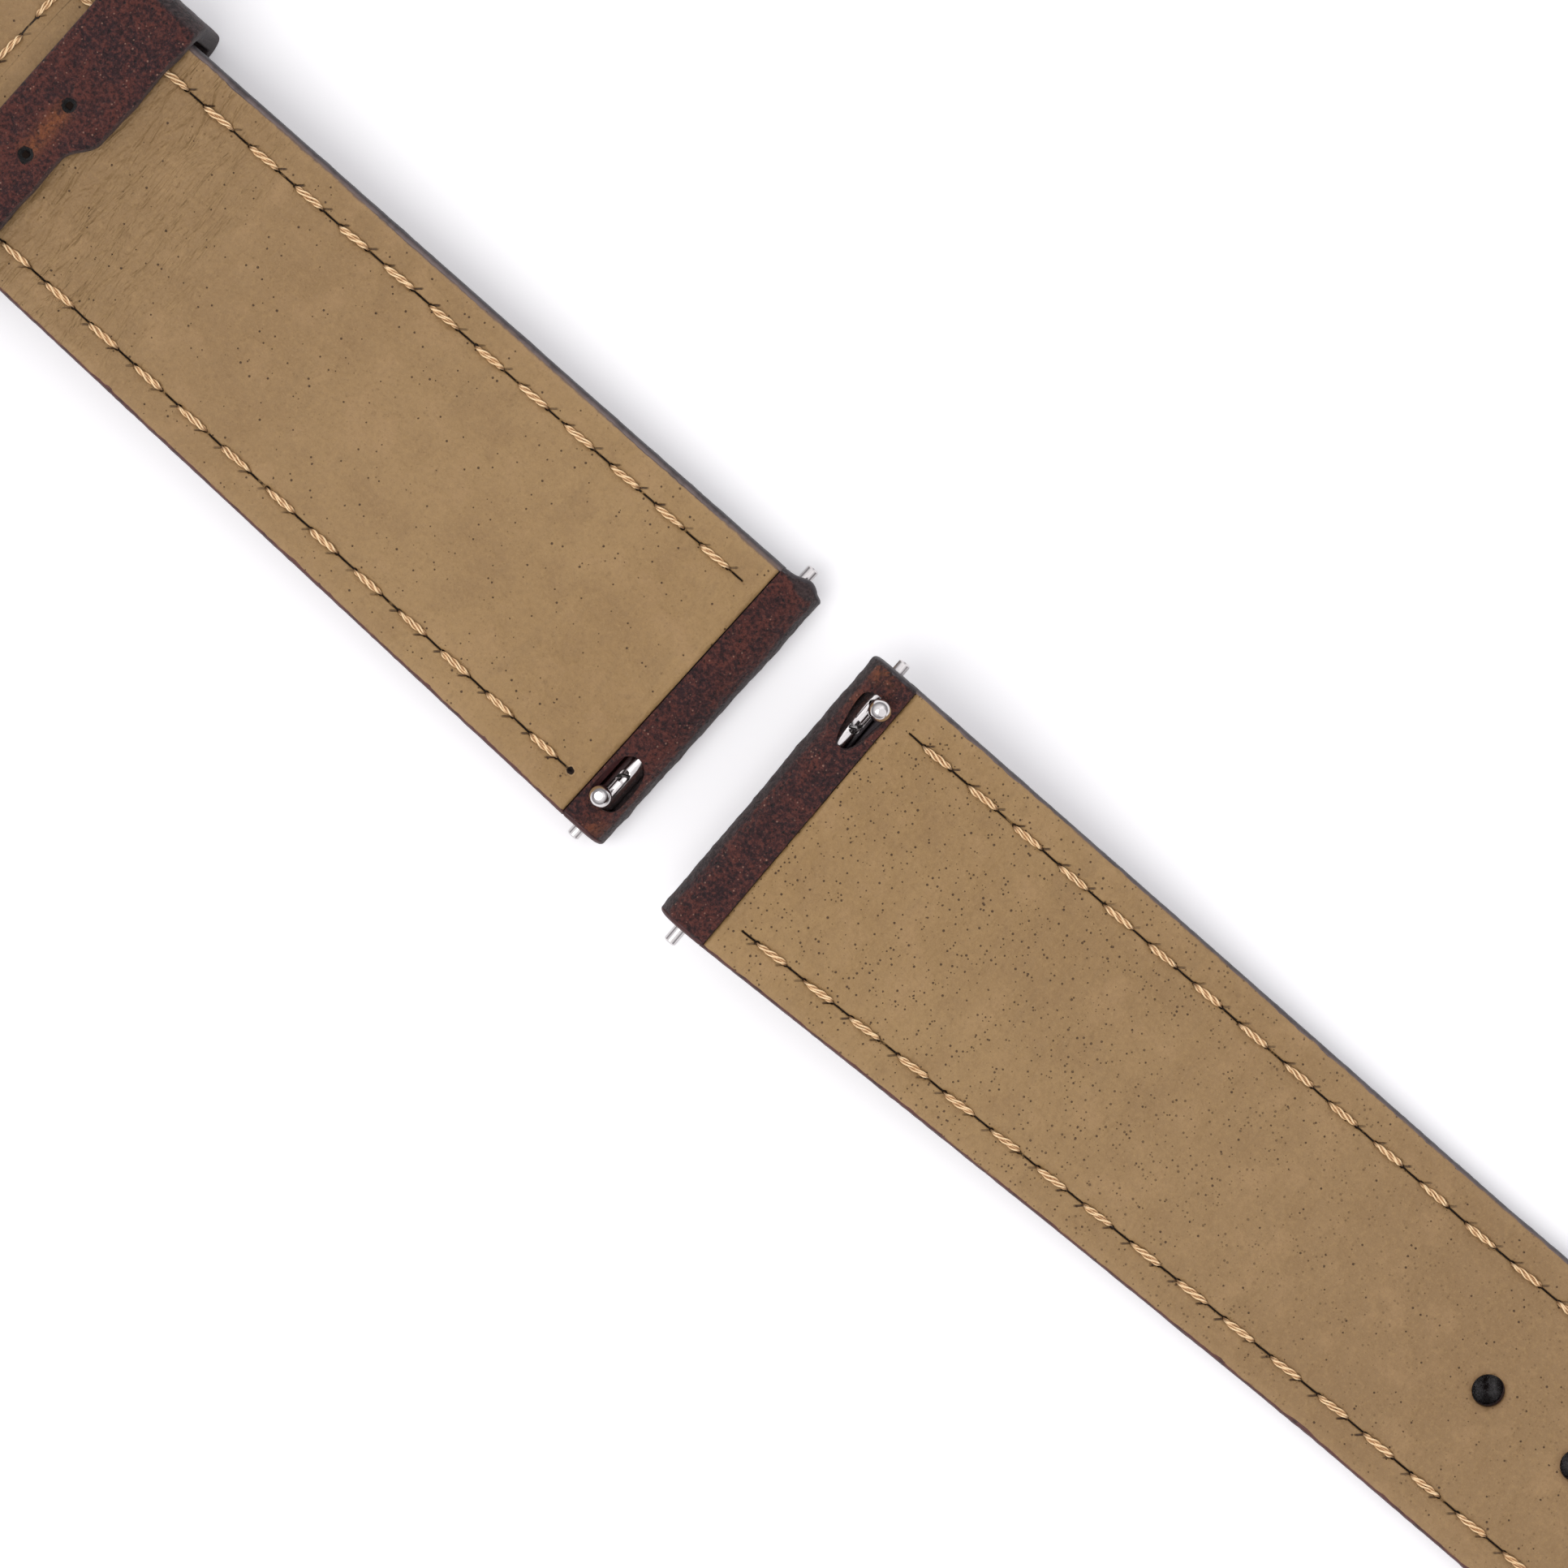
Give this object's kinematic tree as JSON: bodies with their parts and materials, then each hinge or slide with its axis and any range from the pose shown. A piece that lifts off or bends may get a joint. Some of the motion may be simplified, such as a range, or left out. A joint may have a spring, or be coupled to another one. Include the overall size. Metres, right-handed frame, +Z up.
{
  "type": "leather watch strap",
  "caption": "Padded leather watch strap lying lining side up: a buckle half with keepers and a holed half, each with a quick-release bar.",
  "frame": {"origin": "middle of the strap's bounding box in plan, on the surface it lies on", "axes": "+X along the long half towards its tip, +Z up out of the lining faces, +Y across the strap"},
  "size_m": [0.2094, 0.0252, 0.0083],
  "materials": {
    "upper_leather": "dark burgundy brown, suede-like, waxed",
    "lining_leather": "smooth tan with fine pores",
    "filler_board": "split leather padding",
    "thread": "waxed cream thread",
    "bar_steel": "polished",
    "spring_steel": "bright wire",
    "buckle_steel": "brushed, with polished edges",
    "dark_steel": "blackened"
  },
  "bodies": {
    "short_strap": {"short_upper": "upper_leather", "short_filler": "filler_board", "short_lining": "lining_leather", "short_thread_left": "thread", "short_thread_right": "thread", "short_thread_cross": "thread", "fixed_keeper": "upper_leather"},
    "keeper": {"floating_keeper": "upper_leather", "keeper_staple": "dark_steel"},
    "short_release_bar": {"short_bar_barrel": "bar_steel", "short_bar_fixed_tip": "bar_steel", "short_bar_spring": "spring_steel"},
    "short_release_plunger": {"short_bar_plunger": "bar_steel", "short_bar_knob": "bar_steel"},
    "buckle": {"buckle_frame": "buckle_steel", "buckle_bar_barrel": "bar_steel", "buckle_bar_spring": "spring_steel"},
    "buckle_tip_left": {"buckle_bar_tip_left": "bar_steel"},
    "buckle_tip_right": {"buckle_bar_tip_right": "bar_steel"},
    "tongue": {"buckle_tongue": "buckle_steel"},
    "long_strap": {"long_upper": "upper_leather", "long_filler": "filler_board", "long_lining": "lining_leather", "long_thread_left": "thread", "long_thread_right": "thread", "long_thread_tip": "thread"},
    "long_release_bar": {"long_bar_barrel": "bar_steel", "long_bar_fixed_tip": "bar_steel", "long_bar_spring": "spring_steel"},
    "long_release_plunger": {"long_bar_plunger": "bar_steel", "long_bar_knob": "bar_steel"}
  },
  "joints": [
    {"name": "keeper_slide", "type": "slide", "parent": "short_strap", "child": "keeper", "axis": [0.9976, -0.0348, -0.0596], "range_m": [-0.0042, 0.014]},
    {"name": "short_bar_turn", "type": "hinge", "parent": "short_strap", "child": "short_release_bar", "pos_m": [-0.02064, -0.00119, 0.0017], "axis": [-0.0349, -0.9994, 0], "range_deg": [-20, 4]},
    {"name": "short_plunger_slide", "type": "slide", "parent": "short_release_bar", "child": "short_release_plunger", "axis": [0.0349, 0.9994, 0], "range_m": [0, 0.0018], "stiffness_N_per_m": 600, "springref_m": -0.002, "deforming": ["short_bar_spring"]},
    {"name": "buckle_swing", "type": "hinge", "parent": "short_strap", "child": "buckle", "pos_m": [-0.09231, 0.00131, 0.00623], "axis": [-0.0349, -0.9994, 0], "range_deg": [-50, 15]},
    {"name": "tongue_swing", "type": "hinge", "parent": "buckle", "child": "tongue", "pos_m": [-0.09231, 0.00131, 0.00623], "axis": [-0.0349, -0.9994, 0], "range_deg": [0, 75]},
    {"name": "buckle_tip_left_slide", "type": "slide", "parent": "buckle", "child": "buckle_tip_left", "axis": [0.0349, 0.9994, 0], "range_m": [0, 0.0012], "stiffness_N_per_m": 600, "springref_m": -0.002, "deforming": ["buckle_bar_spring"]},
    {"name": "buckle_tip_right_slide", "type": "slide", "parent": "buckle", "child": "buckle_tip_right", "axis": [-0.0349, -0.9994, 0], "range_m": [0, 0.0012], "stiffness_N_per_m": 600, "springref_m": -0.002, "deforming": ["buckle_bar_spring"]},
    {"name": "half_spacing", "type": "slide", "parent": "short_strap", "child": "long_strap", "axis": [1, 0, 0], "range_m": [0, 0.04]},
    {"name": "long_bar_turn", "type": "hinge", "parent": "long_strap", "child": "long_release_bar", "pos_m": [-0.0122, -0.00152, 0.00559], "axis": [0, 1, 0], "range_deg": [-20, 4]},
    {"name": "long_plunger_slide", "type": "slide", "parent": "long_release_bar", "child": "long_release_plunger", "axis": [0, -1, 0], "range_m": [0, 0.0018], "stiffness_N_per_m": 600, "springref_m": -0.002, "deforming": ["long_bar_spring"]}
  ]
}
